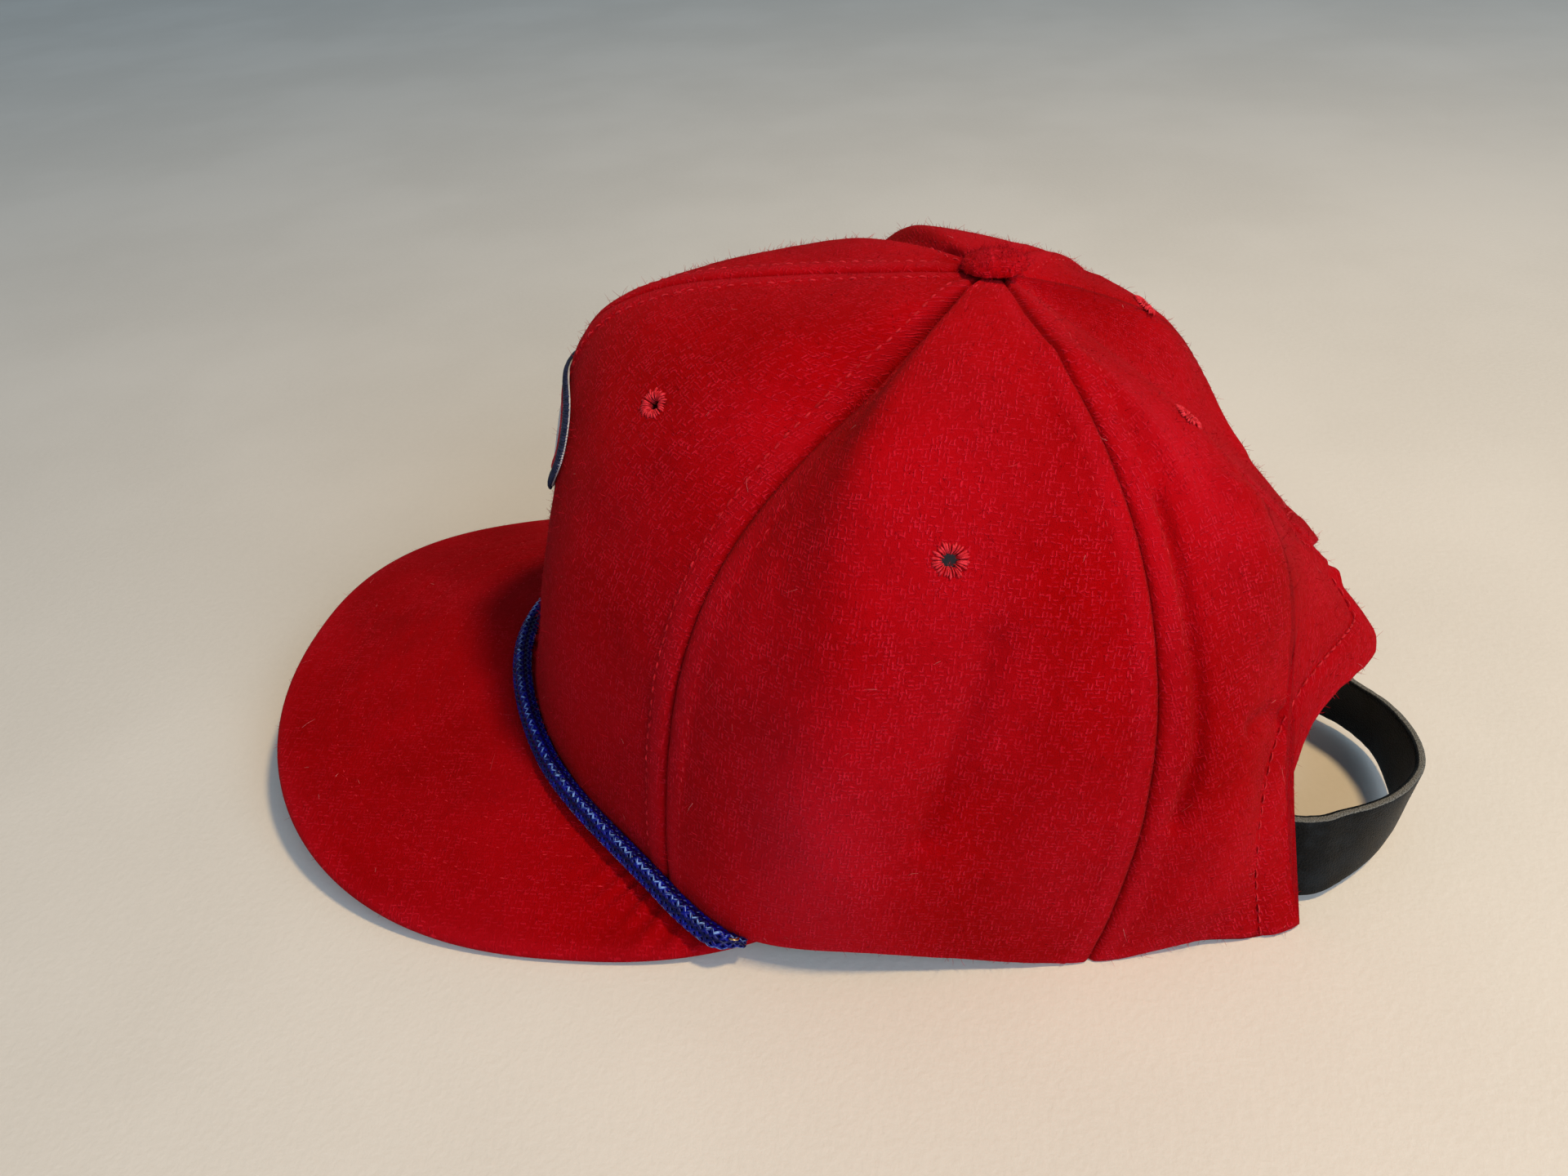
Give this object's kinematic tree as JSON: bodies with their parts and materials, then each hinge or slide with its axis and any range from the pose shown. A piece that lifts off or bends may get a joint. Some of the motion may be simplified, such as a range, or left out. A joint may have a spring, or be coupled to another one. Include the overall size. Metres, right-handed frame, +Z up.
{
  "type": "snapback cap with a leather back strap",
  "caption": "Soft wool cap with panelled crown, curved brim, braided cord on the brim joint and a leather strap across the back opening.",
  "frame": {"origin": "middle of the footprint of the whole cap, on the surface it stands on", "axes": "+Z up, the brim points along -Y, +X is the wearer's left"},
  "size_m": [0.1794, 0.2795, 0.1244],
  "materials": {
    "wool": "napped red wool, slightly fuzzy",
    "brim_wool": "napped red wool over a stiff board, rows of stitches",
    "braid": "royal blue braid with pale flecks",
    "button_wool": "red wool drawn over a button",
    "embroidery": "pale embroidery with a navy edge",
    "leather": "black leather, worn grey at the cut edge",
    "brass": "plain worn brass"
  },
  "bodies": {
    "root": {"front_panel_left": "wool", "front_panel_right": "wool", "side_panel_left": "wool", "side_panel_right": "wool", "back_panel_left": "wool", "back_panel_right": "wool", "brim": "brim_wool", "brim_cord": "braid", "top_button": "button_wool", "front_patch": "embroidery", "back_strap": "leather", "strap_slide": "brass"}
  },
  "joints": []
}
